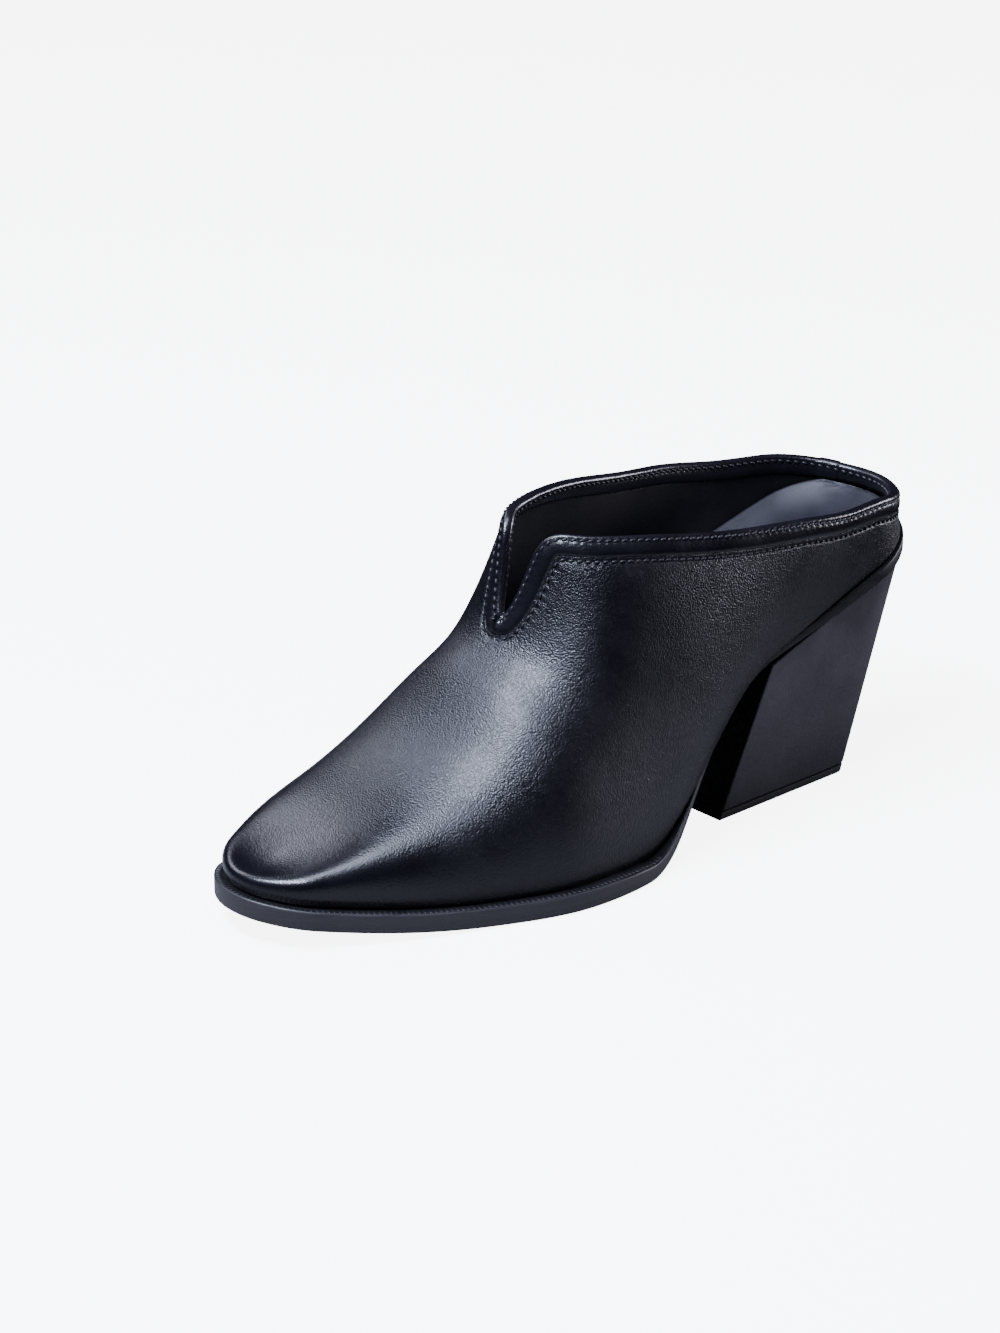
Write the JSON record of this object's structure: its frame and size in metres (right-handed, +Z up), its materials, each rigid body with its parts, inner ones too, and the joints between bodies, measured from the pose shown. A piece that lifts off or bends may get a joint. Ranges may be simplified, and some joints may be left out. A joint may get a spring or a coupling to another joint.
{
  "type": "block heel mule",
  "caption": "Left women's mule with a closed almond toe, V throat, bound topline, ledged sole and tall raked block heel.",
  "frame": {"origin": "middle of the shoe's box, on the floor that the heel and tread stand on", "axes": "+Z up, +Y towards the heel, toe towards -Y, +X towards the outer side of a left foot"},
  "size_m": [0.0896, 0.2472, 0.1011],
  "materials": {
    "upper_leather": "smooth satin black with a blue-grey sheen",
    "binding_leather": "rounded glossy black tape",
    "sock_leather": "smooth blue-grey with a soft sheen",
    "sole_edge": "satin dark grey edge",
    "heel_cover": "satin dark grey cover",
    "lift_rubber": "matte black"
  },
  "bodies": {
    "root": {"upper": "upper_leather", "topline_binding": "binding_leather", "insole": "sock_leather", "outsole": "sole_edge", "heel_block": "heel_cover", "heel_top_lift": "lift_rubber"}
  },
  "joints": []
}
